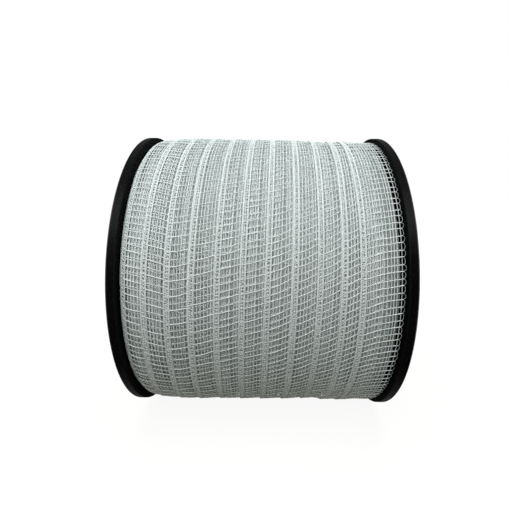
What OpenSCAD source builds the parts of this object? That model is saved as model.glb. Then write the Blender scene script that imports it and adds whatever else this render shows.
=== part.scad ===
// Two-flange plastic reel wound with an open-weave mesh tape.
// The reel's axis lies along X. Its centre is the origin, and it stands on the
// two flange rims. Angles around the axis run from the front (-Y) over the top (+Z).

/* [Flanges] */
// Outer diameter of both flanges
flange_d = 160; // [150:1:180]
// Thickness of the flange rim
rim_t = 4.4; // [3.6:0.1:5]
// Radial width of the raised rim on the outer side
rim_w = 4.5; // [3.5:0.5:6]
// Thickness of the flange web behind the ribs
web_t = 2.2; // [1.8:0.1:2.6]
// Height of the stiffening ribs, measured from the inner face
rib_h = 3.4; // [3:0.1:3.5]
// Thickness of one rib
rib_t = 1.8; // [1.2:0.1:2.4]
// Number of ribs between the core ring and the rim
rib_n = 12; // [6:6:18]

/* [Core and arbor] */
// Clear width between the inner faces of the flanges
traverse = 128; // [122:1:140]
// Outer diameter of the core tube
core_d = 60; // [60:1:70]
// Wall of the core tube
core_wall = 2; // [1.8:0.1:2.5]
// Bore that runs on the spindle
arbor_d = 22; // [18:0.5:22]
// Length of the arbor sleeve inside each flange
sleeve_l = 24; // [16:1:30]
// Number of snap fingers on each flange
finger_n = 6; // [4:1:8]

/* [Drive holes] */
// Pitch circle diameter of the drive holes
drive_pcd = 42; // [41:0.5:42]
// Diameter of one drive hole
drive_d = 8; // [6:0.5:8]

/* [Tape] */
// Width of the mesh tape over its looped edges
tape_w = 20; // [18:0.5:22]
// Thickness of the tape where warp and weft cross
tape_t = 0.5; // [0.3:0.05:0.55]
// Radial build of one turn over the next
turn_build = 0.6; // [0.6:0.05:0.7]
// Turns of the top pass that follow the last full one
tail_turn = 0.42; // [0.3:0.02:0.6]

/* [Hidden] */

R = flange_d / 2;
half = traverse / 2;
gap = 0.3;                       // tape edge to flange
core_r = core_d / 2;
core_in = core_r - core_wall;
arbor_r = arbor_d / 2;
boss_r = arbor_r + 4;
sleeve_r = arbor_r + 2.4;
spigot_r = core_in - 0.05;
spigot_w = 2.2;
spigot_l = 14;
barb = 0.8;
slot_w = 2;                      // slot in the core for the tape's inner end
first_angle = 3.2;               // where each full turn is counted from
steps = 36;                      // sections in one turn

// Left edge of the tape on each full turn, as a share of the travel
lead_share = [[-1, 0], [0, 0], [1, 0.099], [2, 0.196], [3, 0.295], [4, 0.402],
              [5, 0.506], [6, 0.608], [7, 0.720], [8, 0.822], [9, 0.921],
              [10, 1], [11, 1]];
// How far the outside of the winding lies below the flange rim, by share of the traverse
dip = [[0, 5.8], [0.021, 3.2], [0.045, 1.9], [0.12, 1.0], [0.20, 0.7], [0.34, 1.0],
       [0.50, 1.1], [0.61, 1.3], [0.72, 1.9], [0.83, 2.1], [0.91, 2.2], [1, 1.7]];

function travel() = traverse - 2 * gap - tape_w;
function left_edge(turn) = -half + gap + travel() * lookup(turn, lead_share);
function top_r(x) = R - lookup((x + half) / traverse, dip);
slope = turn_build * 10 / travel();
function tape_r(turn, x) = top_r(x) + turn_build * turn - slope * (x + half - gap);
function under_r(x) = top_r(x) - 2.5;

// Turns a profile drawn as [radius, along X] into a ring around the X axis
module ring_x(points, fn = 128) {
  rotate([0, 90, 0]) rotate_extrude($fn = fn) polygon(points);
}

function arc(cx, cy, r, a0, a1, n) =
  [for (i = [0 : n]) [cx + r * cos(a0 + (a1 - a0) * i / n), cy + r * sin(a0 + (a1 - a0) * i / n)]];

// One flange in its own frame: inner face on z = 0, outer side towards +z
module flange() {
  fi = 0.5;
  fo = 1;
  difference() {
    union() {
      // arbor sleeve, web, raised rim, ring over the core and arbor boss
      rotate_extrude($fn = 180)
        polygon(concat(
          [[arbor_r, -sleeve_l + 0.6], [arbor_r + 0.6, -sleeve_l], [sleeve_r, -sleeve_l],
           [sleeve_r, 0], [R - fi, 0]],
          arc(R - fi, fi, fi, -60, 0, 3),
          arc(R - fo, rim_t - fo, fo, 0, 90, 5),
          [[R - rim_w, rim_t], [R - rim_w - 0.4, web_t],
           [core_r + 1.1, web_t], [core_r + 0.9, rib_h + 0.2], [core_r - 0.9, rib_h + 0.2],
           [core_r - 1.1, web_t],
           [boss_r, web_t], [boss_r - 0.2, rim_t], [arbor_r + 0.6, rim_t], [arbor_r, rim_t - 0.6]]));
      // ribs from the core ring to the rim
      for (i = [0 : rib_n - 1])
        rotate([0, 0, i * 360 / rib_n])
          translate([core_r, -rib_t / 2, web_t - 0.2])
            cube([R - rim_w + 0.2 - core_r, rib_t, rib_h - web_t + 0.2]);
      // ribs from the boss to the core ring
      for (i = [0 : 5])
        rotate([0, 0, i * 60])
          translate([boss_r - 0.6, -rib_t / 2, web_t - 0.2])
            cube([core_r - boss_r + 0.3, rib_t, rib_h - web_t + 0.2]);
      // snap fingers with barbs that lock in the core tube's groove
      difference() {
        rotate_extrude($fn = 120)
          polygon([[spigot_r - spigot_w, 0.2], [spigot_r, 0.2], [spigot_r, -spigot_l + 3.4],
                   [spigot_r + barb, -spigot_l + 3], [spigot_r + barb, -spigot_l + 2],
                   [spigot_r - 0.4, -spigot_l], [spigot_r - spigot_w, -spigot_l]]);
        for (i = [0 : finger_n - 1])
          rotate([0, 0, (i + 0.5) * 360 / finger_n])
            translate([spigot_r - spigot_w - 1, -1.6, -spigot_l - 1])
              cube([spigot_w + barb + 2, 3.2, spigot_l - 1]);
      }
      // gussets between the arbor sleeve and the finger root
      for (i = [0 : 5])
        rotate([0, 0, i * 60])
          translate([sleeve_r - 0.5, -0.8, -5])
            cube([spigot_r - spigot_w - sleeve_r + 1, 1.6, 5.5]);
    }
    // drive holes
    for (i = [0 : 2])
      rotate([0, 0, 30 + i * 120])
        translate([drive_pcd / 2, 0, -1])
          cylinder(r = drive_d / 2, h = rim_t + 2, $fn = 48);
  }
}

module right_flange() {
  color([0.05, 0.05, 0.05]) translate([half, 0, 0]) rotate([0, 90, 0]) flange();
}

module left_flange() {
  color([0.05, 0.05, 0.05]) mirror([1, 0, 0]) translate([half, 0, 0]) rotate([0, 90, 0]) flange();
}

// Tube between the flanges, with a snap groove at each end and a slot for the tape's inner end
module core_tube() {
  color([0.08, 0.08, 0.08])
    difference() {
      ring_x([[core_in, -half + 0.1], [core_r, -half + 0.1], [core_r, half - 0.1], [core_in, half - 0.1]]);
      for (s = [-1, 1])
        ring_x([[core_in - 1, s * (half - spigot_l + 0.4)], [core_in + 1, s * (half - spigot_l + 0.4)],
                [core_in + 1, s * (half - spigot_l + 3.8)], [core_in - 1, s * (half - spigot_l + 3.8)]]);
      translate([0, 0, core_r - 1]) cube([tape_w + 1, slot_w, 6], center = true);
    }
}

// Inner end of the tape, tucked through the slot and folded inside the core
module tape_start() {
  color([0.86, 0.88, 0.88]) {
    translate([-tape_w / 2, -tape_t / 2, core_in - 3]) cube([tape_w, tape_t, core_wall + 3]);
    translate([-tape_w / 2, -tape_t / 2, core_in - 3]) cube([tape_w, 9, tape_t]);
  }
}

xs = [for (i = [0 : len(dip) - 1]) -half + gap + (traverse - 2 * gap) * dip[i][0]];

// All the passes below the last two, as one solid
module inner_layers() {
  color([0.80, 0.83, 0.83])
    ring_x(concat([for (x = xs) [under_r(x) - 1.25, x]],
                  [[core_r + 0.05, half - gap], [core_r + 0.05, -half + gap]]));
}

// The pass under the top one, laid the other way
module under_pass() {
  color([0.84, 0.87, 0.87])
    ring_x(concat([for (x = xs) [under_r(x), x]],
                  [for (i = [len(xs) - 1 : -1 : 0]) [under_r(xs[i]) - 1.2, xs[i]]]));
}

across = [0, 0.2, 0.5, 1];

// Corners of the tape's section at one place of the winding
function section(turn) =
  let (a = first_angle + 360 * turn, x0 = left_edge(turn),
       low = [for (c = across) let (x = x0 + c * tape_w, r = tape_r(turn, x) - tape_t / 2)
               [x, -r * cos(a), r * sin(a)]],
       top = [for (i = [len(across) - 1 : -1 : 0])
               let (x = x0 + across[i] * tape_w, r = tape_r(turn, x) + tape_t / 2)
               [x, -r * cos(a), r * sin(a)]])
  concat(low, top);

// The visible pass: one ribbon that climbs from left to right, each turn over the last
module top_pass() {
  n = round((11 + tail_turn) * steps);
  m = 2 * len(across);
  pts = [for (i = [0 : n]) each section(-1 + i / steps)];
  quads = [for (i = [0 : n - 1], j = [0 : m - 1])
            let (a = i * m + j, b = i * m + (j + 1) % m) [a, b, b + m, a + m]];
  ends = [[for (j = [m - 1 : -1 : 0]) j], [for (j = [0 : m - 1]) n * m + j]];
  color([0.88, 0.90, 0.90])
    polyhedron(points = pts, faces = concat(quads, ends), convexity = 12);
}

// Clear adhesive strip that holds the outer end of the tape
module tail_strip() {
  last = 10 + tail_turn;
  a1 = first_angle + 360 * tail_turn + 15;
  sx = [half - 17, half - 12, half - 7, half - 2.5];
  color([0.90, 0.91, 0.90, 0.6])
    rotate([0, 90, 0]) rotate([0, 0, -a1 - 90])
      rotate_extrude(angle = 34, $fn = 96)
        polygon(concat([for (x = sx) [tape_r(last, x) + 0.45, x]],
                       [for (i = [3 : -1 : 0]) [tape_r(last, sx[i]) + 0.6, sx[i]]]));
}

left_flange();
right_flange();
core_tube();
tape_start();
inner_layers();
under_pass();
top_pass();
tail_strip();
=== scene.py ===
import math

import bpy
import numpy as np
from mathutils import Matrix, Vector


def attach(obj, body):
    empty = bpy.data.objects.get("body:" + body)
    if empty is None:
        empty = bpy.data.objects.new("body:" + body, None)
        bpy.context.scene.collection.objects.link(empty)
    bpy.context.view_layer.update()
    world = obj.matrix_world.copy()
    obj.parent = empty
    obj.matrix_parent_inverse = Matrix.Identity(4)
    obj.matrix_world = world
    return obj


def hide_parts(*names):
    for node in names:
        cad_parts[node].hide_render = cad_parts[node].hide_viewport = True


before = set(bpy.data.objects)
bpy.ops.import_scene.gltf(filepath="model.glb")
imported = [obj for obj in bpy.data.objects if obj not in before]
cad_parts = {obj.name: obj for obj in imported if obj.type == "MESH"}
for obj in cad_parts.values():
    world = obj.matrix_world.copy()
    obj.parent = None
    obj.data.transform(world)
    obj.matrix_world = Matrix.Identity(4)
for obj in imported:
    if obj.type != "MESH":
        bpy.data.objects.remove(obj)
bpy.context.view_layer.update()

# ---------------------------------------------------------------- dimensions, in millimetres
R = 80.0            # flange radius
HALF = 64.0         # half the clear width between the flanges
GAP = 0.3           # tape edge to flange
W = 20.0            # tape width over its looped edge
TRAVEL = 2 * HALF - 2 * GAP - W
BUILD = 0.6         # radial build of one turn over the next
A0 = 3.2            # degrees, where full turns are counted from
TAIL = 0.42         # share of a turn after the last full one
PPT = 153.2         # weft picks in one turn
LIFT = 10.0         # camera's elevation over the reel's axis, in degrees

SHARE = np.array([(-1, 0), (0, 0), (1, 0.099), (2, 0.196), (3, 0.295), (4, 0.402), (5, 0.506),
                  (6, 0.608), (7, 0.720), (8, 0.822), (9, 0.921), (10, 1), (12, 1)], float)
DIP = np.array([(0, 5.8), (0.021, 3.2), (0.045, 1.9), (0.12, 1.0), (0.20, 0.7), (0.34, 1.0),
                (0.50, 1.1), (0.61, 1.3), (0.72, 1.9), (0.83, 2.1), (0.91, 2.2), (1, 1.7)], float)
SLOPE = BUILD * 10 / TRAVEL

rng = np.random.default_rng(20)


# ---------------------------------------------------------------- camera
def rows(yaw, pitch, roll):
    cy, sy, cp, sp, cr, sr = (math.cos(yaw), math.sin(yaw), math.cos(pitch), math.sin(pitch),
                              math.cos(roll), math.sin(roll))
    rz = np.array([[cy, -sy, 0], [sy, cy, 0], [0, 0, 1]])
    rx = np.array([[1, 0, 0], [0, cp, -sp], [0, sp, cp]])
    ry = np.array([[cr, 0, sr], [0, 1, 0], [-sr, 0, cr]])
    return ry @ rx @ rz


def make_camera():
    e = math.radians(LIFT)
    turn = np.array([[1, 0, 0], [0, math.cos(e), math.sin(e)], [0, -math.sin(e), math.cos(e)]])
    r = rows(-0.0213, -0.0856, 0.0119) @ turn.T
    place = turn @ np.array([0.0215, -2.9594, 0.0]) * R / 1000
    data = bpy.data.cameras.new("camera")
    data.sensor_width = 36.0
    data.lens = 25.495
    data.shift_x, data.shift_y = -0.0054, -0.0413
    data.clip_start, data.clip_end = 0.005, 50
    cam = bpy.data.objects.new("camera", data)
    bpy.context.scene.collection.objects.link(cam)
    m = np.eye(4)
    m[:3, 0], m[:3, 1], m[:3, 2], m[:3, 3] = r[0], r[2], -r[1], place
    cam.matrix_world = Matrix(m.tolist())
    bpy.context.scene.camera = cam


make_camera()


# ---------------------------------------------------------------- node helpers
def new_material(name):
    m = bpy.data.materials.new(name)
    m.use_nodes = True
    nt = m.node_tree
    return m, nt, nt.nodes["Principled BSDF"]


def node(nt, kind, **inputs):
    n = nt.nodes.new(kind)
    for k, v in inputs.items():
        if hasattr(n, k):
            setattr(n, k, v)
        else:
            n.inputs[k.replace("_", " ")].default_value = v
    return n


def maths(nt, operation, a, b=None, clamp=False):
    n = nt.nodes.new("ShaderNodeMath")
    n.operation = operation
    n.use_clamp = clamp
    for i, v in enumerate((a, b)):
        if v is None:
            continue
        if isinstance(v, (int, float)):
            n.inputs[i].default_value = v
        else:
            nt.links.new(v, n.inputs[i])
    return n.outputs[0]


def remap(nt, value, a, b, c, d, smooth=False):
    n = nt.nodes.new("ShaderNodeMapRange")
    if smooth:
        n.interpolation_type = "SMOOTHSTEP"
    for i, v in enumerate((None, a, b, c, d)):
        if v is not None:
            n.inputs[i].default_value = v
    nt.links.new(value, n.inputs[0])
    return n.outputs[0]


def mix_colour(nt, factor, a, b):
    n = nt.nodes.new("ShaderNodeMix")
    n.data_type = "RGBA"
    for sock, v in ((n.inputs[0], factor), (n.inputs[6], a), (n.inputs[7], b)):
        if isinstance(v, (tuple, list)):
            sock.default_value = (*v, 1) if len(v) == 3 else v
        elif isinstance(v, (int, float)):
            sock.default_value = v
        else:
            nt.links.new(v, sock)
    return n.outputs[2]


# ---------------------------------------------------------------- materials
def thread_material(name, light, dark, rough=0.42):
    """White drawn monofilament: slight tone differences from thread to thread, cloudy along each. The tone also
    carries painted shade, and a tone below zero paints a thread grey.
    """
    m, nt, p = new_material(name)
    tone = nt.nodes.new("ShaderNodeAttribute")
    tone.attribute_name = "tone"
    tc = nt.nodes.new("ShaderNodeTexCoord")
    cloud = node(nt, "ShaderNodeTexNoise", Scale=260.0, Detail=3.0, Roughness=0.6)
    nt.links.new(tc.outputs["Object"], cloud.inputs["Vector"])
    fine = node(nt, "ShaderNodeTexNoise", Scale=2600.0, Detail=2.0, Roughness=0.5)
    nt.links.new(tc.outputs["Object"], fine.inputs["Vector"])
    f = maths(nt, "ADD", maths(nt, "MULTIPLY", tone.outputs["Fac"], 0.65),
              maths(nt, "MULTIPLY", cloud.outputs["Fac"], 0.35), clamp=True)
    # painted shade: the loops of the right edge stand clear of the winding, and a tone below zero paints them grey
    clear = remap(nt, tone.outputs["Fac"], -1.0, 0.0, 1.0, 0.0)
    nt.links.new(mix_colour(nt, clear, mix_colour(nt, f, dark, light), (0.24, 0.265, 0.262)),
                 p.inputs["Base Color"])
    nt.links.new(remap(nt, cloud.outputs["Fac"], 0.3, 0.7, rough - 0.07, rough + 0.07),
                 p.inputs["Roughness"])
    bump = node(nt, "ShaderNodeBump", Strength=0.12, Distance=0.00005)
    nt.links.new(fine.outputs["Fac"], bump.inputs["Height"])
    nt.links.new(bump.outputs["Normal"], p.inputs["Normal"])
    p.inputs["IOR"].default_value = 1.49
    p.inputs["Specular IOR Level"].default_value = 0.32
    return m


def black_plastic():
    """Injection-moulded black plastic: satin gloss, faint moulding mottle, rubbed rim."""
    m, nt, p = new_material("reel_plastic")
    tc = nt.nodes.new("ShaderNodeTexCoord")
    sep = nt.nodes.new("ShaderNodeSeparateXYZ")
    nt.links.new(tc.outputs["Object"], sep.inputs[0])
    mottle = node(nt, "ShaderNodeTexNoise", Scale=55.0, Detail=4.0, Roughness=0.55)
    nt.links.new(tc.outputs["Object"], mottle.inputs["Vector"])
    grain = node(nt, "ShaderNodeTexNoise", Scale=1500.0, Detail=2.0, Roughness=0.6)
    nt.links.new(tc.outputs["Object"], grain.inputs["Vector"])
    # distance from the reel's axis, for the rubbed edge and the etched outer faces
    rad = maths(nt, "SQRT", maths(nt, "ADD", maths(nt, "POWER", sep.outputs["Y"], 2.0),
                                  maths(nt, "POWER", sep.outputs["Z"], 2.0)))
    rim = remap(nt, rad, (R - 1.2) / 1000, (R - 0.1) / 1000, 0.0, 1.0, smooth=True)
    scuff = node(nt, "ShaderNodeTexNoise", Scale=420.0, Detail=5.0, Roughness=0.7)
    stretch = nt.nodes.new("ShaderNodeMapping")
    stretch.inputs["Scale"].default_value = (3.0, 0.6, 0.6)
    nt.links.new(tc.outputs["Object"], stretch.inputs["Vector"])
    nt.links.new(stretch.outputs[0], scuff.inputs["Vector"])
    worn = maths(nt, "MULTIPLY", rim, remap(nt, scuff.outputs["Fac"], 0.56, 0.72, 0.0, 1.0, True))
    base = mix_colour(nt, mottle.outputs["Fac"], (0.0012, 0.0012, 0.0014), (0.0028, 0.0028, 0.0031))
    # the outer faces inside the rim carry a fine spark-eroded texture, greyer than the smooth rim
    face = maths(nt, "MULTIPLY",
                 remap(nt, maths(nt, "ABSOLUTE", sep.outputs["X"]), (HALF + 0.8) / 1000,
                       (HALF + 1.4) / 1000, 0.0, 1.0, smooth=True),
                 remap(nt, rad, (R - 1.4) / 1000, (R - 2.4) / 1000, 0.0, 1.0, smooth=True))
    etched = mix_colour(nt, remap(nt, grain.outputs["Fac"], 0.35, 0.65, 0.0, 1.0),
                        (0.009, 0.009, 0.0095), (0.019, 0.019, 0.0195))
    base = mix_colour(nt, face, base, etched)
    # what stands proud of the web is rubbed on the shelf: rib tops, rim and boss
    proud = remap(nt, maths(nt, "ABSOLUTE", sep.outputs["X"]), (HALF + 3.1) / 1000,
                  (HALF + 3.35) / 1000, 0.0, 1.0, smooth=True)
    proud = maths(nt, "MULTIPLY", maths(nt, "MULTIPLY", proud, face),
                  remap(nt, scuff.outputs["Fac"], 0.40, 0.66, 0.25, 1.0, True))
    base = mix_colour(nt, proud, base, (0.034, 0.034, 0.035))
    nt.links.new(mix_colour(nt, maths(nt, "MULTIPLY", worn, 0.35), base, (0.018, 0.018, 0.019)),
                 p.inputs["Base Color"])
    # the inner faces, against which the tape's edges rub, are matt
    inner = remap(nt, maths(nt, "ABSOLUTE", sep.outputs["X"]), (HALF + 0.30) / 1000,
                  (HALF + 0.08) / 1000, 0.0, 1.0, smooth=True)
    rough = remap(nt, mottle.outputs["Fac"], 0.3, 0.7, 0.22, 0.30)
    rough = maths(nt, "ADD", rough, maths(nt, "MULTIPLY", worn, 0.2))
    rough = maths(nt, "ADD", rough, maths(nt, "MULTIPLY", face, 0.16))
    rough = maths(nt, "SUBTRACT", rough, maths(nt, "MULTIPLY", proud, 0.07))
    nt.links.new(maths(nt, "ADD", rough, maths(nt, "MULTIPLY", inner, 0.35), clamp=True),
                 p.inputs["Roughness"])
    nt.links.new(maths(nt, "SUBTRACT", 0.5, maths(nt, "MULTIPLY", inner, 0.46)),
                 p.inputs["Specular IOR Level"])
    depth = maths(nt, "ADD", 0.25, maths(nt, "MULTIPLY", face, 1.1))
    h = maths(nt, "ADD", maths(nt, "MULTIPLY", grain.outputs["Fac"], depth),
              maths(nt, "MULTIPLY", mottle.outputs["Fac"], 0.75))
    bump = node(nt, "ShaderNodeBump", Strength=0.10, Distance=0.0002)
    nt.links.new(h, bump.inputs["Height"])
    nt.links.new(bump.outputs["Normal"], p.inputs["Normal"])
    p.inputs["IOR"].default_value = 1.5
    return m


def deep_weave():
    """The layers too deep to be told apart: the same weave, seen through the ones above."""
    m, nt, p = new_material("deep_weave")
    uv = nt.nodes.new("ShaderNodeUVMap")
    uv.uv_map = "weave"
    tc = nt.nodes.new("ShaderNodeTexCoord")
    warp = node(nt, "ShaderNodeTexNoise", Scale=120.0, Detail=2.0)
    nt.links.new(tc.outputs["Object"], warp.inputs["Vector"])
    sep = nt.nodes.new("ShaderNodeSeparateXYZ")
    nt.links.new(uv.outputs[0], sep.inputs[0])
    wander = maths(nt, "MULTIPLY", maths(nt, "SUBTRACT", warp.outputs["Fac"], 0.5), 0.9)

    def lines(value, period, width):
        f = maths(nt, "FRACT", maths(nt, "ADD", maths(nt, "DIVIDE", value, period), wander))
        d = maths(nt, "ABSOLUTE", maths(nt, "SUBTRACT", f, 0.5))
        return remap(nt, d, width, width * 0.45, 0.0, 1.0, smooth=True)

    x, y = sep.outputs["X"], sep.outputs["Y"]
    along = lines(maths(nt, "ADD", x, maths(nt, "MULTIPLY", y, 0.022)), 1.35, 0.26)
    cross = lines(maths(nt, "SUBTRACT", y, maths(nt, "MULTIPLY", x, 0.16)), 2.6, 0.17)
    mask = maths(nt, "MAXIMUM", along, maths(nt, "MULTIPLY", cross, 0.35))
    # painted light: the skin is coloured a little lighter than the threads above, for the light that these
    # translucent threads let through
    weft = mix_colour(nt, mask, (0.64, 0.68, 0.67), (0.72, 0.76, 0.75))
    # painted shade: the skin is darkened towards both flanges, where the winding lies in the flanges' shade
    right = remap(nt, x, 50.5, 60.5, 0.0, 0.66, smooth=True)
    left = remap(nt, x, -50.0, -62.5, 0.0, 0.4, smooth=True)
    nt.links.new(mix_colour(nt, maths(nt, "ADD", right, left), weft, (0.10, 0.11, 0.11)),
                 p.inputs["Base Color"])
    nt.links.new(remap(nt, warp.outputs["Fac"], 0.3, 0.7, 0.55, 0.7), p.inputs["Roughness"])
    bump = node(nt, "ShaderNodeBump", Strength=0.8, Distance=0.0003)
    nt.links.new(mask, bump.inputs["Height"])
    nt.links.new(bump.outputs["Normal"], p.inputs["Normal"])
    return m


def clear_film():
    m, nt, p = new_material("clear_tape")
    tc = nt.nodes.new("ShaderNodeTexCoord")
    n = node(nt, "ShaderNodeTexNoise", Scale=160.0, Detail=3.0)
    nt.links.new(tc.outputs["Object"], n.inputs["Vector"])
    nt.links.new(mix_colour(nt, n.outputs["Fac"], (0.80, 0.82, 0.81), (0.88, 0.90, 0.89)),
                 p.inputs["Base Color"])
    nt.links.new(remap(nt, n.outputs["Fac"], 0.3, 0.7, 0.08, 0.22), p.inputs["Roughness"])
    bump = node(nt, "ShaderNodeBump", Strength=0.25, Distance=0.0002)
    nt.links.new(n.outputs["Fac"], bump.inputs["Height"])
    nt.links.new(bump.outputs["Normal"], p.inputs["Normal"])
    cling = node(nt, "ShaderNodeTexNoise", Scale=240.0, Detail=3.0, Roughness=0.6)
    nt.links.new(tc.outputs["Object"], cling.inputs["Vector"])
    nt.links.new(remap(nt, cling.outputs["Fac"], 0.40, 0.70, 0.07, 0.20, smooth=True),
                 p.inputs["Alpha"])
    return m


THREAD = thread_material("mesh_tape", (0.725, 0.763, 0.758), (0.56, 0.602, 0.597), 0.60)
# painted light: a lighter copy of the same tape for the pass below, standing in for the light that the translucent
# threads above let through; the tape's inner end uses it too
LIGHTENED_THREAD = thread_material("mesh_tape_inner_lightened", (0.765, 0.805, 0.80), (0.665, 0.705, 0.70), 0.62)
DEEP = deep_weave()
PLASTIC = black_plastic()
FILM = clear_film()


# ---------------------------------------------------------------- tubes
class Tubes:
    """Collects thread tubes and turns them into one mesh."""

    def __init__(self):
        self.co, self.faces, self.uv, self.tone, self.n = [], [], [], [], 0

    def add(self, path, up, radius, sides=5, tone=0.5, box=(0, 0, 1, 1), flat=1.0):
        """path (tubes, points, 3) and up, the outward direction there. box: the tubes' place in
        the bake's map, as x, y, width and height, side by side along x."""
        t, s = path.shape[:2]
        tangent = np.gradient(path, axis=1)
        tangent /= np.linalg.norm(tangent, axis=2, keepdims=True) + 1e-12
        side = np.cross(tangent, up)
        side /= np.linalg.norm(side, axis=2, keepdims=True) + 1e-12
        top = np.cross(side, tangent)
        ang = np.arange(sides) * 2 * math.pi / sides + math.pi / 2
        ring = (path[:, :, None] + radius * (np.cos(ang)[:, None] * side[:, :, None]
                + flat * np.sin(ang)[:, None] * top[:, :, None]))
        self.co.append(ring.reshape(-1, 3))
        idx = self.n + np.arange(t * s * sides).reshape(t, s, sides)
        nxt = np.roll(idx, -1, axis=2)
        quad = np.stack([idx[:, :-1], nxt[:, :-1], nxt[:, 1:], idx[:, 1:]], -1)
        self.faces.append(quad.reshape(-1, 4))
        x0, y0, w, h = box
        jj = np.arange(sides)
        tu = (x0 + w * (np.arange(t)[:, None] + 0.06 + 0.88 * jj[None] / sides) / t)
        tv = (x0 + w * (np.arange(t)[:, None] + 0.06 + 0.88 * (jj[None] + 1) / sides) / t)
        v = y0 + h * np.arange(s) / (s - 1)
        uv = np.empty((t, s - 1, sides, 4, 2))
        uv[..., 0, 0] = uv[..., 3, 0] = tu[:, None]
        uv[..., 1, 0] = uv[..., 2, 0] = tv[:, None]
        uv[..., 0, 1] = uv[..., 1, 1] = v[None, :-1, None]
        uv[..., 2, 1] = uv[..., 3, 1] = v[None, 1:, None]
        self.uv.append(uv.reshape(-1, 2))
        tone = np.broadcast_to(np.asarray(tone, float), (t, s)) if np.ndim(tone) else np.full((t, s), tone)
        self.tone.append(np.repeat(tone.reshape(-1), sides))
        self.n += t * s * sides
        self.caps = getattr(self, "caps", [])
        self.caps += [c[::-1] for c in idx[:, 0].tolist()] + idx[:, -1].tolist()

    def object(self, name, material, smooth=True):
        co = np.concatenate(self.co) / 1000
        quads = np.concatenate(self.faces)
        uv = np.concatenate(self.uv)
        tone = np.concatenate(self.tone)
        caps = getattr(self, "caps", [])
        loops = quads.reshape(-1)
        starts = np.arange(len(quads)) * 4
        totals = np.full(len(quads), 4)
        if caps:
            k = len(caps[0])
            capped = np.array(caps)
            starts = np.concatenate([starts, len(loops) + np.arange(len(caps)) * k])
            totals = np.concatenate([totals, np.full(len(caps), k)])
            near = np.zeros((len(co), 2))
            near[quads.reshape(-1)] = uv
            uv = np.concatenate([uv, near[capped.reshape(-1)]])
            # the caps have corners of their own, so that the sides shade as a tube to their end
            loops = np.concatenate([loops, len(co) + np.arange(capped.size)])
            co = np.concatenate([co, co[capped.reshape(-1)]])
            tone = np.concatenate([tone, tone[capped.reshape(-1)]])
        me = bpy.data.meshes.new(name)
        me.vertices.add(len(co))
        me.vertices.foreach_set("co", co.astype(np.float32).ravel())
        me.loops.add(len(loops))
        me.loops.foreach_set("vertex_index", loops.astype(np.int32))
        me.polygons.add(len(starts))
        me.polygons.foreach_set("loop_start", starts.astype(np.int32))
        me.update(calc_edges=True)
        me.validate()
        layer = me.uv_layers.new(name="OFBake")
        if len(layer.data) == len(uv):
            layer.data.foreach_set("uv", uv.astype(np.float32).ravel())
        a = me.attributes.new("tone", "FLOAT", "POINT")
        a.data.foreach_set("value", tone.astype(np.float32))
        if smooth:
            me.polygons.foreach_set("use_smooth", np.ones(len(me.polygons), bool))
        me.materials.append(material)
        ob = bpy.data.objects.new(name, me)
        bpy.context.scene.collection.objects.link(ob)
        return ob


def wave(t, amount, lows, seed):
    """A smooth random wander of t."""
    r = np.random.default_rng(seed)
    out = np.zeros_like(np.asarray(t, float))
    for f in lows:
        out = out + np.sin(2 * math.pi * (f * t * r.uniform(0.8, 1.2) + r.uniform())) / len(lows)
    return amount * out


def softened(table, width):
    """The table's values, averaged over width so that no corner shows."""
    xs = np.linspace(table[0, 0] - width, table[-1, 0] + width, 4001)
    v = np.interp(xs, table[:, 0], table[:, 1])
    k = max(1, int(round(width / (xs[1] - xs[0]))))
    pad = np.pad(v, (k, k), mode="edge")
    v = np.convolve(pad, np.ones(k) / k, "same")[k:-k]
    return lambda q: np.interp(q, xs, v)


share = softened(SHARE, 0.45)
dip = softened(DIP, 0.02)


def top_r(x):
    return R + 0.3 - dip((x + HALF) / (2 * HALF))


def slump(x, a):
    """The winding's right half hangs a little off centre."""
    return np.clip((x - 29) / 4, 0, 1) * (0.2 - 0.5 * np.sin(a))


def at(x, r, a):
    return np.stack([x, -r * np.cos(a), r * np.sin(a)], -1), np.stack(
        [np.zeros_like(a), -np.cos(a), np.sin(a)], -1)


# Warp threads across the tape, by place; the code takes the first four as the selvedge pair
WARPS = [0.14, 0.52, 2.30, 2.68, 4.27, 5.76, 7.15, 8.85, 10.35, 11.84, 13.60, 14.95, 16.20, 18.20]
LAST = 18.20
# Slope of the weft against the tape's own square, by turn: at the left selvedge, its growth
# towards the middle, and its growth over the full width
SKEW_T = [-1, 0, 1, 1.5, 2, 3, 4, 5, 6, 7, 8, 9, 9.6, 9.85, 10, 10.2, 12]
SKEW_1 = [-.20, -.22, -.27, -.15, .02, .12, .14, .13, .20, .16, .25, .33, .48, .48, .40, .30, .30]
SKEW_2 = [0, 0, 0, .006, .013, .0115, .0115, .011, .0155, .0205, .020, .018, .004, 0, 0, 0, 0]
SKEW_3 = [0, 0, 0, 0, 0, 0, 0, 0, 0, 0, 0, 0, -.006, -.009, -.0075, -.005, -.005]


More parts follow.
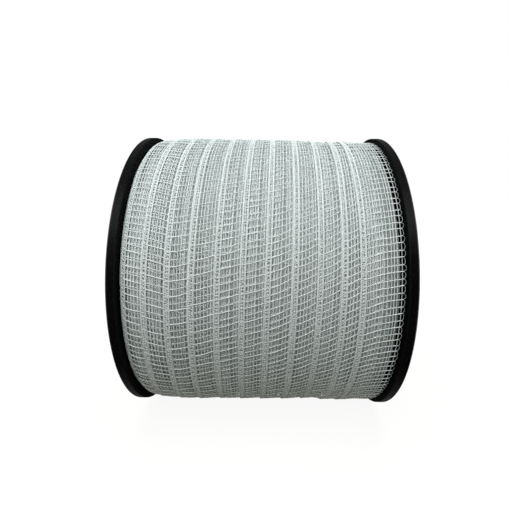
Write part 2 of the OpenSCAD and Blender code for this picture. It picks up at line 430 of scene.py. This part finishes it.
class TopPass:
    """The last pass: left to right, each turn over the one before."""

    end = (11 + TAIL) * PPT

    def turn(self, p):
        return -1 + (p + 0.04 * np.cos(math.pi * p)) / PPT

    def left(self, t):
        return -HALF + GAP + TRAVEL * share(t) + np.where((t > 0.4) & (t < 9.8), 1, 0) * wave(
            t, 0.22, (0.9, 2.1, 3.7), 5)

    def place(self, p, u, n):
        p, u, n = np.broadcast_arrays(*map(lambda v: np.asarray(v, float), (p, u, n)))
        t = self.turn(p)
        bent = np.where(u < 10, u * u, 100 + 20 * (u - 10) - (u - 10) ** 2)
        skew = (np.interp(t, SKEW_T, SKEW_1) * u + np.interp(t, SKEW_T, SKEW_2) * bent
                + np.interp(t, SKEW_T, SKEW_3) * u * u)
        skew = skew + wave(t, 0.35, (3.1, 7.3, 13.0), 8) * (u / W) + wave(
            t, 0.25, (23.0, 41.0), 9) * np.sin(u * 0.35)
        x = np.clip(self.left(t) + u, -HALF + 0.12, HALF - 0.12)
        r = top_r(x) + BUILD * t - SLOPE * (x + HALF - GAP)
        r = r + wave(t, 0.06, (5.0, 11.0, 17.0), 11) * np.cos(u * 0.4)
        a = math.radians(A0) + 2 * math.pi * t + skew / R
        return at(x, r + slump(x, a) + n, a)

    def warp_at(self, k, p):
        return WARPS[k] + wave(np.asarray(p, float) / PPT, 0.16, (1.3, 3.9, 8.1), 100 + k) * (
            0.35 if k < 4 else 1.0)


class UnderPass(TopPass):
    """The pass below: right to left, each turn over the one before."""

    drop = 1.95
    right_end = 60.4
    end = 10.85 * PPT

    def turn(self, p):
        return p / PPT

    def place(self, p, u, n):
        p, u, n = np.broadcast_arrays(*map(lambda v: np.asarray(v, float), (p, u, n)))
        t = self.turn(p)
        travel = self.right_end - W + HALF - GAP
        right = self.right_end - travel * np.clip(t - 0.6, 0, 10) / 10 + wave(t, 0.3, (0.7, 1.9), 31)
        # on the reel's back it reaches the flange before it turns round
        swing = np.clip((t - 0.07) / 0.15, 0, 1) * np.clip((0.60 - t) / 0.15, 0, 1)
        right = np.minimum(right, self.right_end) + 3.1 * swing * swing * (3 - 2 * swing)
        skew = -0.05 * u - 0.004 * u * u + wave(t, 0.5, (2.3, 6.1), 33) * (u / W)
        x = np.clip(right - W + u, -HALF + 0.12, HALF - 0.12)
        over = BUILD * 10 / travel
        r = top_r(x) - self.drop + BUILD * (t - 0.6) - over * (self.right_end - x)
        r = np.minimum(r, top_r(x) - self.drop)
        a = math.radians(A0 + 47) + 2 * math.pi * t + skew / R
        return at(x, r + n, a)


def weave(which, name, turns, first, last, radius, sides, fine, material, node_name):
    """Threads of one pass, from pick first to pick last, cut into pieces of so many turns."""
    made = []
    edges = np.arange(first, last, turns * PPT)
    edges = [int(round(e)) for e in edges] + [int(round(last))]
    if len(edges) > 2 and edges[-1] - edges[-2] < PPT * 0.3:
        edges.pop(-2)
    for i in range(len(edges) - 1):
        a, b = edges[i], edges[i + 1]
        tubes = Tubes()
        # warp
        step = 2 if fine else 1
        p = np.arange(a * step, b * step + 1) / step
        for k in range(len(WARPS)):
            lift = -0.05 * np.cos(math.pi * p)
            c, up = which.place(p, which.warp_at(k, p), lift)
            tone = 0.72 + 0.22 * np.sin(k * 2.4) + wave(p, 0.2, (0.013, 0.05), 40 + k)
            if k < 4:
                # painted shade: the selvedge pair, outermost and in the full light, is painted darker, and darker
                # still over the first two turns
                tone = 0.42 + 0.15 * np.sin(k * 2.4) + wave(p, 0.2, (0.013, 0.05), 40 + k)
                tone = tone - 0.6 * np.clip(2.2 - p / PPT, 0, 1) * fine
            if k > 8:     # painted shade: greyer towards the free edge over the last turn, with less white tape behind them
                tone = tone - (1.1 if k == len(WARPS) - 1 else 0.45) * fine * np.clip(
                    p / PPT - 9.6, 0, 1)
            tubes.add(c[None], up[None], radius * (1.04 if k < 4 else 0.95), sides, tone[None],
                      (k / len(WARPS) * 0.5, 0, 0.5 / len(WARPS), 1))
        # weft
        picks = np.arange(a, b)
        ks = np.arange(len(WARPS))
        stops, lifts = [-0.05], [0.0]
        for k in ks:
            stops.append(WARPS[k])
            lifts.append(1.0 if k % 2 == 0 else -1.0)
            if fine and k + 1 < len(WARPS) and WARPS[k + 1] - WARPS[k] > 1:
                stops.append((WARPS[k] + WARPS[k + 1]) / 2)
                lifts.append(0.0)
        stops.append(LAST + 0.8)
        lifts.append(0.0)
        u = np.array(stops)
        over = np.where(picks % 2 == 0, 1.0, -1.0)[:, None]
        n = over * 0.12 + np.array(lifts)[None] * 0.025
        n = np.where(u[None] < 3.0, -0.10 + 0.06 * over, n)      # about under the selvedge pair
        c, up = which.place(picks[:, None], u[None], n)
        # painted shade: the wefts that pass under the warps are painted darker than those over them
        tone = (0.58 + 0.15 * over + 0.15 * rng.uniform(-1, 1, len(picks))[:, None]) + 0 * u[None]
        # the wefts lie along x in the bake's map, one strip each
        for j, thick in ((0, 1.14), (1, 0.98)):
            before = len(tubes.uv)
            tubes.add(c[j::2], up[j::2], radius * (thick if fine else 0.72), sides, tone[j::2])
            uv = tubes.uv[before]
            tubes.uv[before] = np.stack([0.66 + 0.17 * j + 0.16 * uv[:, 1], uv[:, 0]], -1)
        # looped right edge and laced left selvedge
        q = np.arange(a * 6, b * 6 + 1) / 6.0
        big = 0.84 + 0.14 * np.cos(math.pi * (np.floor(q))) + wave(q, 0.16, (0.31, 0.7), 61)
        bulge = 0.82 + 0.88 * np.abs(np.sin(math.pi * q)) ** 0.8 * big
        lean = wave(q, 0.22, (0.23, 0.51), 62) * np.sin(math.pi * q) ** 2
        c, up = which.place(q + lean, LAST + bulge, -0.12 * np.cos(math.pi * q))
        # the loops get a tone below zero: painted shade, grey
        tubes.add(c[None], up[None], radius * 0.56, sides, -0.75, (0.50, 0, 0.04, 1))
        if fine:
            q = q[q >= PPT * 0.9] if a == 0 else q
            for j, phase in enumerate((0.5, 0.5 + math.pi)):
                lace = 1.42 + 1.20 * np.cos(2 * math.pi * q + phase + wave(q, 0.9, (0.021, 0.047), 70 + j))
                c, up = which.place(q, lace, (0.10 - 0.2 * j) * np.sin(2 * math.pi * q) - 0.04)
                tubes.add(c[None], up[None], radius * 0.84, sides, 0.62,
                          (0.54 + 0.03 * j, 0, 0.03, 1))
            lace = 1.15 + wave(q, 0.5, (0.027, 0.061, 0.13), 75)
            c, up = which.place(q, lace, -0.16 + 0 * q)
            tubes.add(c[None], up[None], radius * 0.82, sides, 0.5, (0.60, 0, 0.03, 1))
        ob = tubes.object(f"{name}_{i + 1}", material)
        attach(ob, "root")
        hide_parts(node_name)
        made.append(ob)
    return made


top = TopPass()
weave(top, "top_pass_mesh", 1.5, 0, top.end, 0.215, 5, True, THREAD, "top_pass")
under = UnderPass()
weave(under, "under_pass_mesh", 4, 0, under.end, 0.195, 4, False, LIGHTENED_THREAD, "under_pass")


# ---------------------------------------------------------------- the layers below, as one skin
def deep_layers():
    xs = np.concatenate([np.linspace(-HALF + 0.35, -HALF + 3, 8), np.linspace(-HALF + 3.5, 61.4, 150),
                         np.linspace(61.7, HALF - 0.35, 9)])
    rad = top_r(xs) - 3.1
    rad = rad - 2.4 * np.clip((xs - 55) / 6, 0, 1) ** 1.5 - 6 * np.clip((xs - 62.3) / 1.4, 0, 1) - 1.5 * np.clip((-61.5 - xs) / 2.0, 0, 1)
    n = 480
    ang = np.arange(n) * 2 * math.pi / n
    X, A = np.meshgrid(xs, ang)
    rr = np.broadcast_to(rad, X.shape)
    rr = rr + 0.12 * np.sin(X / 1.35 * 2 * math.pi + 0.4 * np.sin(3 * A))
    outer = np.stack([X, -rr * np.cos(A), rr * np.sin(A)], -1)
    core = 30.2
    rings = [outer]
    k = len(xs)
    co = outer.reshape(-1, 3)
    ends = []
    for xe in (xs[0], xs[-1]):
        ends.append(np.stack([np.full(n, xe), -core * np.cos(ang), core * np.sin(ang)], -1))
    co = np.concatenate([co, *ends]) / 1000
    idx = np.arange(n * k).reshape(n, k)
    nxt = np.roll(idx, -1, axis=0)
    q = [np.stack([idx[:, :-1], idx[:, 1:], nxt[:, 1:], nxt[:, :-1]], -1).reshape(-1, 4)]
    el, er = n * k + np.arange(n), n * k + n + np.arange(n)
    q.append(np.stack([el, idx[:, 0], nxt[:, 0], np.roll(el, -1)], -1))
    q.append(np.stack([idx[:, -1], er, np.roll(er, -1), nxt[:, -1]], -1))
    q.append(np.stack([er, el, np.roll(el, -1), np.roll(er, -1)], -1))
    faces = np.concatenate(q)
    me = bpy.data.meshes.new("inner_layers_skin")
    me.from_pydata(co.tolist(), [], faces.tolist())
    me.update()
    uv = me.uv_layers.new(name="weave")
    # on the steep ends the pattern follows the depth, as the edges of stacked layers do
    U = X + 1.6 * np.interp(X, xs, top_r(xs) - rad - 3.1) * np.where(X > 62, 1, np.where(X < -61, -1, 0))
    flat = np.concatenate([np.stack([U, A * R], -1).reshape(-1, 2),
                           np.stack([np.full(n, xs[0]), ang * R], -1), np.stack([np.full(n, xs[-1]), ang * R], -1)])
    loops = faces.reshape(-1)
    val = flat[loops].reshape(-1, 4, 2)
    low = val[:, :, 1].max(1) - val[:, :, 1].min(1) > math.pi * R
    val[low, :, 1] = np.where(val[low, :, 1] < 1.0, 2 * math.pi * R, val[low, :, 1])
    uv.data.foreach_set("uv", val.astype(np.float32).ravel())
    me.polygons.foreach_set("use_smooth", np.ones(len(me.polygons), bool))
    me.materials.append(DEEP)
    ob = bpy.data.objects.new("inner_layers_skin", me)
    bpy.context.scene.collection.objects.link(ob)
    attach(ob, "root")
    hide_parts("inner_layers")


deep_layers()


# ---------------------------------------------------------------- clear strip over the tape's end
def tail_film():
    t_end = -1 + top.end / PPT
    na, nx = 61, 49
    ang = np.linspace(t_end - 19 / 360, t_end + 15 / 360, na)
    xs = np.linspace(HALF - 17, HALF - 2.5, nx)
    T, X = np.meshgrid(ang, xs, indexing="ij")
    # both ends are torn off over a toothed blade
    teeth = np.abs(((X - HALF) / 1.2) % 1.0 - 0.5) * 2 - 0.5
    rows_ = np.arange(na)[:, None]
    T = T + teeth * 0.0016 * (np.clip(1 - rows_ / 2, 0, 1) - np.clip(1 - (na - 1 - rows_) / 2, 0, 1))
    r = top_r(X) + BUILD * t_end - SLOPE * (X + HALF - GAP) + 0.36
    step = np.clip((T - t_end - 0.002) * 360 / 2.2, 0, 1)
    r = r - 0.42 * step * step * (3 - 2 * step)
    r = r + 0.03 * np.sin(X * 2.1) * np.sin(T * 360 * 1.7)
    a = math.radians(A0) + 2 * math.pi * T
    co = []
    for d in (0.0, 0.06):
        co.append(np.stack([X, -(r + d) * np.cos(a), (r + d) * np.sin(a)], -1).reshape(-1, 3))
    co = np.concatenate(co) / 1000
    i = np.arange(na * nx).reshape(na, nx)
    up = np.stack([i[:-1, :-1], i[:-1, 1:], i[1:, 1:], i[1:, :-1]], -1).reshape(-1, 4)
    m = na * nx
    rim = np.concatenate([i[0, :], i[1:, -1], i[-1, -2::-1], i[-2:0:-1, 0]])
    nx_rim = np.roll(rim, -1)
    walls = np.stack([rim, rim + m, nx_rim + m, nx_rim], -1)
    faces = np.concatenate([up, up[:, ::-1] + m, walls[:, ::-1]])
    me = bpy.data.meshes.new("tail_film")
    me.from_pydata(co.tolist(), [], faces.tolist())
    me.update()
    me.polygons.foreach_set("use_smooth", np.ones(len(me.polygons), bool))
    me.materials.append(FILM)
    ob = bpy.data.objects.new("tail_film", me)
    bpy.context.scene.collection.objects.link(ob)
    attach(ob, "root")
    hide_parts("tail_strip")


tail_film()


# ---------------------------------------------------------------- tape's inner end, inside the core
def inner_end():
    tubes = Tubes()
    length, fold = 13.6, 4.6

    def spot(s, u, n):
        s, u, n = np.broadcast_arrays(*map(lambda v: np.asarray(v, float), (s, u, n)))
        # down through the slot for the first stretch, round a small bend, then along +Y
        b = 0.8
        turn = np.clip((s - fold) / (b * math.pi / 2), 0, 1) * math.pi / 2
        y = b * (1 - np.cos(turn)) + np.maximum(s - fold - b * math.pi / 2, 0)
        z = 30.0 - np.minimum(s, fold) - b * np.sin(turn)
        up = np.stack([np.zeros_like(s), -np.cos(turn), -np.sin(turn)], -1)
        return np.stack([u - W / 2, y - 0.1, z], -1) + up * n[..., None], up

    s = np.linspace(0, length, 40)
    for k, w in enumerate(WARPS):
        c, up = spot(s, w, -0.09 * np.cos(math.pi * (s / 3.24 + k)))
        tubes.add(c[None], up[None], 0.19, 6, 0.5, (k / 28, 0, 1 / 28, 1))
    for j in range(5):
        u = np.linspace(0, LAST, 40)
        c, up = spot(np.full_like(u, 0.5 + j * 3.24), u, 0.10 * np.cos(u * 2.0))
        tubes.add(c[None], up[None], 0.19, 6, 0.6, (0.5 + j / 10, 0, 0.1, 1))
    ob = tubes.object("tape_inner_end", LIGHTENED_THREAD)
    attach(ob, "root")
    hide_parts("tape_start")


inner_end()

# ---------------------------------------------------------------- reel plastic
for name in ("left_flange", "right_flange", "core_tube"):
    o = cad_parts[name]
    o.data.materials.clear()
    o.data.materials.append(PLASTIC)


# ---------------------------------------------------------------- floor, light
TILT = math.radians(LIFT)
POLE = (0.0, math.sin(TILT), math.cos(TILT))
FRONT = (0.0, -math.cos(TILT), math.sin(TILT))

# What the glossy surfaces mirror, by angle from the front over the top to the back
MIRRORED = [(-180, 0.03), (-155, 0.07), (-125, 0.09), (-100, 0.03), (-80, 0.008), (0, 0.006),
            (16, 0.012), (27, 0.28), (38, 0.52), (52, 0.36), (66, 0.09), (80, 0.07), (104, 0.11),
            (130, 0.09), (158, 0.11), (180, 0.03)]


def stage():
    """A pale floor that the camera sees as nearly white, with a soft shadow under the reel: partly the real shadow,
    partly painted shade where the glow is turned down near the reel.
    """
    me = bpy.data.meshes.new("floor")
    s = 60.0
    z = -R / 1000
    me.from_pydata([(-s, -s, z), (s, -s, z), (s, s, z), (-s, s, z)], [], [(0, 1, 2, 3)])
    m, nt, p = new_material("floor")
    p.inputs["Base Color"].default_value = (0.10, 0.09, 0.075, 1)
    p.inputs["Roughness"].default_value = 0.9
    p.inputs["Specular IOR Level"].default_value = 0.0
    lp = nt.nodes.new("ShaderNodeLightPath")
    seen = lp.outputs["Is Camera Ray"]
    nt.links.new(mix_colour(nt, seen, (1.0, 0.94, 0.76), (1.0, 1.0, 1.0)), p.inputs["Emission Color"])
    tc = nt.nodes.new("ShaderNodeTexCoord")
    far = nt.nodes.new("ShaderNodeVectorMath")
    far.operation = "LENGTH"
    nt.links.new(tc.outputs["Object"], far.inputs[0])
    # painted shade: the glow is turned down around the reel, so that the floor looks darker there
    glow_with_painted_shade = remap(nt, far.outputs["Value"], 0.14, 0.5, 0.92, 1.02, smooth=True)
    # a steady glow on the reel's underside, as from a large white table
    nt.links.new(maths(nt, "ADD", maths(nt, "MULTIPLY", seen, glow_with_painted_shade),
                       maths(nt, "MULTIPLY", maths(nt, "SUBTRACT", 1.0, seen), 0.137)),
                 p.inputs["Emission Strength"])
    me.materials.append(m)
    ob = bpy.data.objects.new("floor", me)
    ob.visible_glossy = False
    bpy.context.scene.collection.objects.link(ob)


def soft_light(name, elevation, power, size, colour=(1, 1, 1), side=0.0):
    """A large soft light, so many degrees over the camera as seen from the reel."""
    e = math.radians(elevation + LIFT)
    d = bpy.data.lights.new(name, "AREA")
    d.shape = "RECTANGLE"
    d.size, d.size_y = size
    d.energy = power
    d.color = colour
    o = bpy.data.objects.new(name, d)
    o.location = (side, -1.2 * math.cos(e), 1.2 * math.sin(e))
    o.rotation_mode = "QUATERNION"
    o.rotation_quaternion = (-Vector(o.location)).to_track_quat("-Z", "Y")
    o.visible_glossy = False
    o.visible_camera = False
    bpy.context.scene.collection.objects.link(o)


def sky():
    """The camera sees plain white around; glossy surfaces mirror a soft, uneven room."""
    world = bpy.data.worlds.new("world")
    bpy.context.scene.world = world
    world.use_nodes = True
    nt = world.node_tree
    tc = nt.nodes.new("ShaderNodeTexCoord")

    def along(axis):
        dot = nt.nodes.new("ShaderNodeVectorMath")
        dot.operation = "DOT_PRODUCT"
        nt.links.new(tc.outputs["Generated"], dot.inputs[0])
        dot.inputs[1].default_value = axis
        return dot.outputs["Value"]

    angle = maths(nt, "ARCTAN2", along(POLE), along(FRONT))
    place = remap(nt, angle, -math.pi, math.pi, 0.0, 1.0)
    ramp = nt.nodes.new("ShaderNodeValToRGB")
    ramp.color_ramp.interpolation = "B_SPLINE"
    e = ramp.color_ramp.elements
    e[0].position, e[1].position = 0.0, 1.0
    e[0].color = (MIRRORED[0][1],) * 3 + (1,)
    e[1].color = (MIRRORED[-1][1],) * 3 + (1,)
    for deg, level in MIRRORED[1:-1]:
        k = e.new((deg + 180) / 360)
        k.color = (level,) * 3 + (1,)
    nt.links.new(place, ramp.inputs[0])
    lp = nt.nodes.new("ShaderNodeLightPath")
    g, c = lp.outputs["Is Glossy Ray"], lp.outputs["Is Camera Ray"]
    # soft boxes to both sides, brighter upwards
    beside = remap(nt, maths(nt, "ABSOLUTE", along((1.0, 0.0, 0.0))), 0.62, 0.98, 0.0, SIDES, smooth=True)
    beside = maths(nt, "MULTIPLY", beside, remap(nt, along((0.0, 0.35, 0.94)), -0.6, 0.6, 0.3, 1.0))
    mirrored = maths(nt, "ADD", ramp.outputs["Color"], beside)
    lit = maths(nt, "ADD", maths(nt, "MULTIPLY", g, mirrored),
                maths(nt, "MULTIPLY", maths(nt, "SUBTRACT", 1.0, g), AMBIENT))
    level = maths(nt, "ADD", c, maths(nt, "MULTIPLY", maths(nt, "SUBTRACT", 1.0, c), lit))
    bg = nt.nodes["Background"]
    bg.inputs[0].default_value = (1, 1, 1, 1)
    nt.links.new(level, bg.inputs[1])


AMBIENT = 0.0
SIDES = 2.6
stage()
sky()
soft_light("key", 64, 17.4, (1.0, 1.0), (0.965, 1.0, 0.99))
soft_light("front", 24, 10.2, (1.2, 0.8), (0.955, 1.0, 1.005), -0.4)
soft_light("back", 160, 9.5, (1.1, 0.24), (1.0, 1.0, 1.0))

scene = bpy.context.scene
scene.view_settings.view_transform = "Standard"
scene.view_settings.look = "None"
scene.view_settings.exposure = 0.0
scene.view_settings.gamma = 1.0
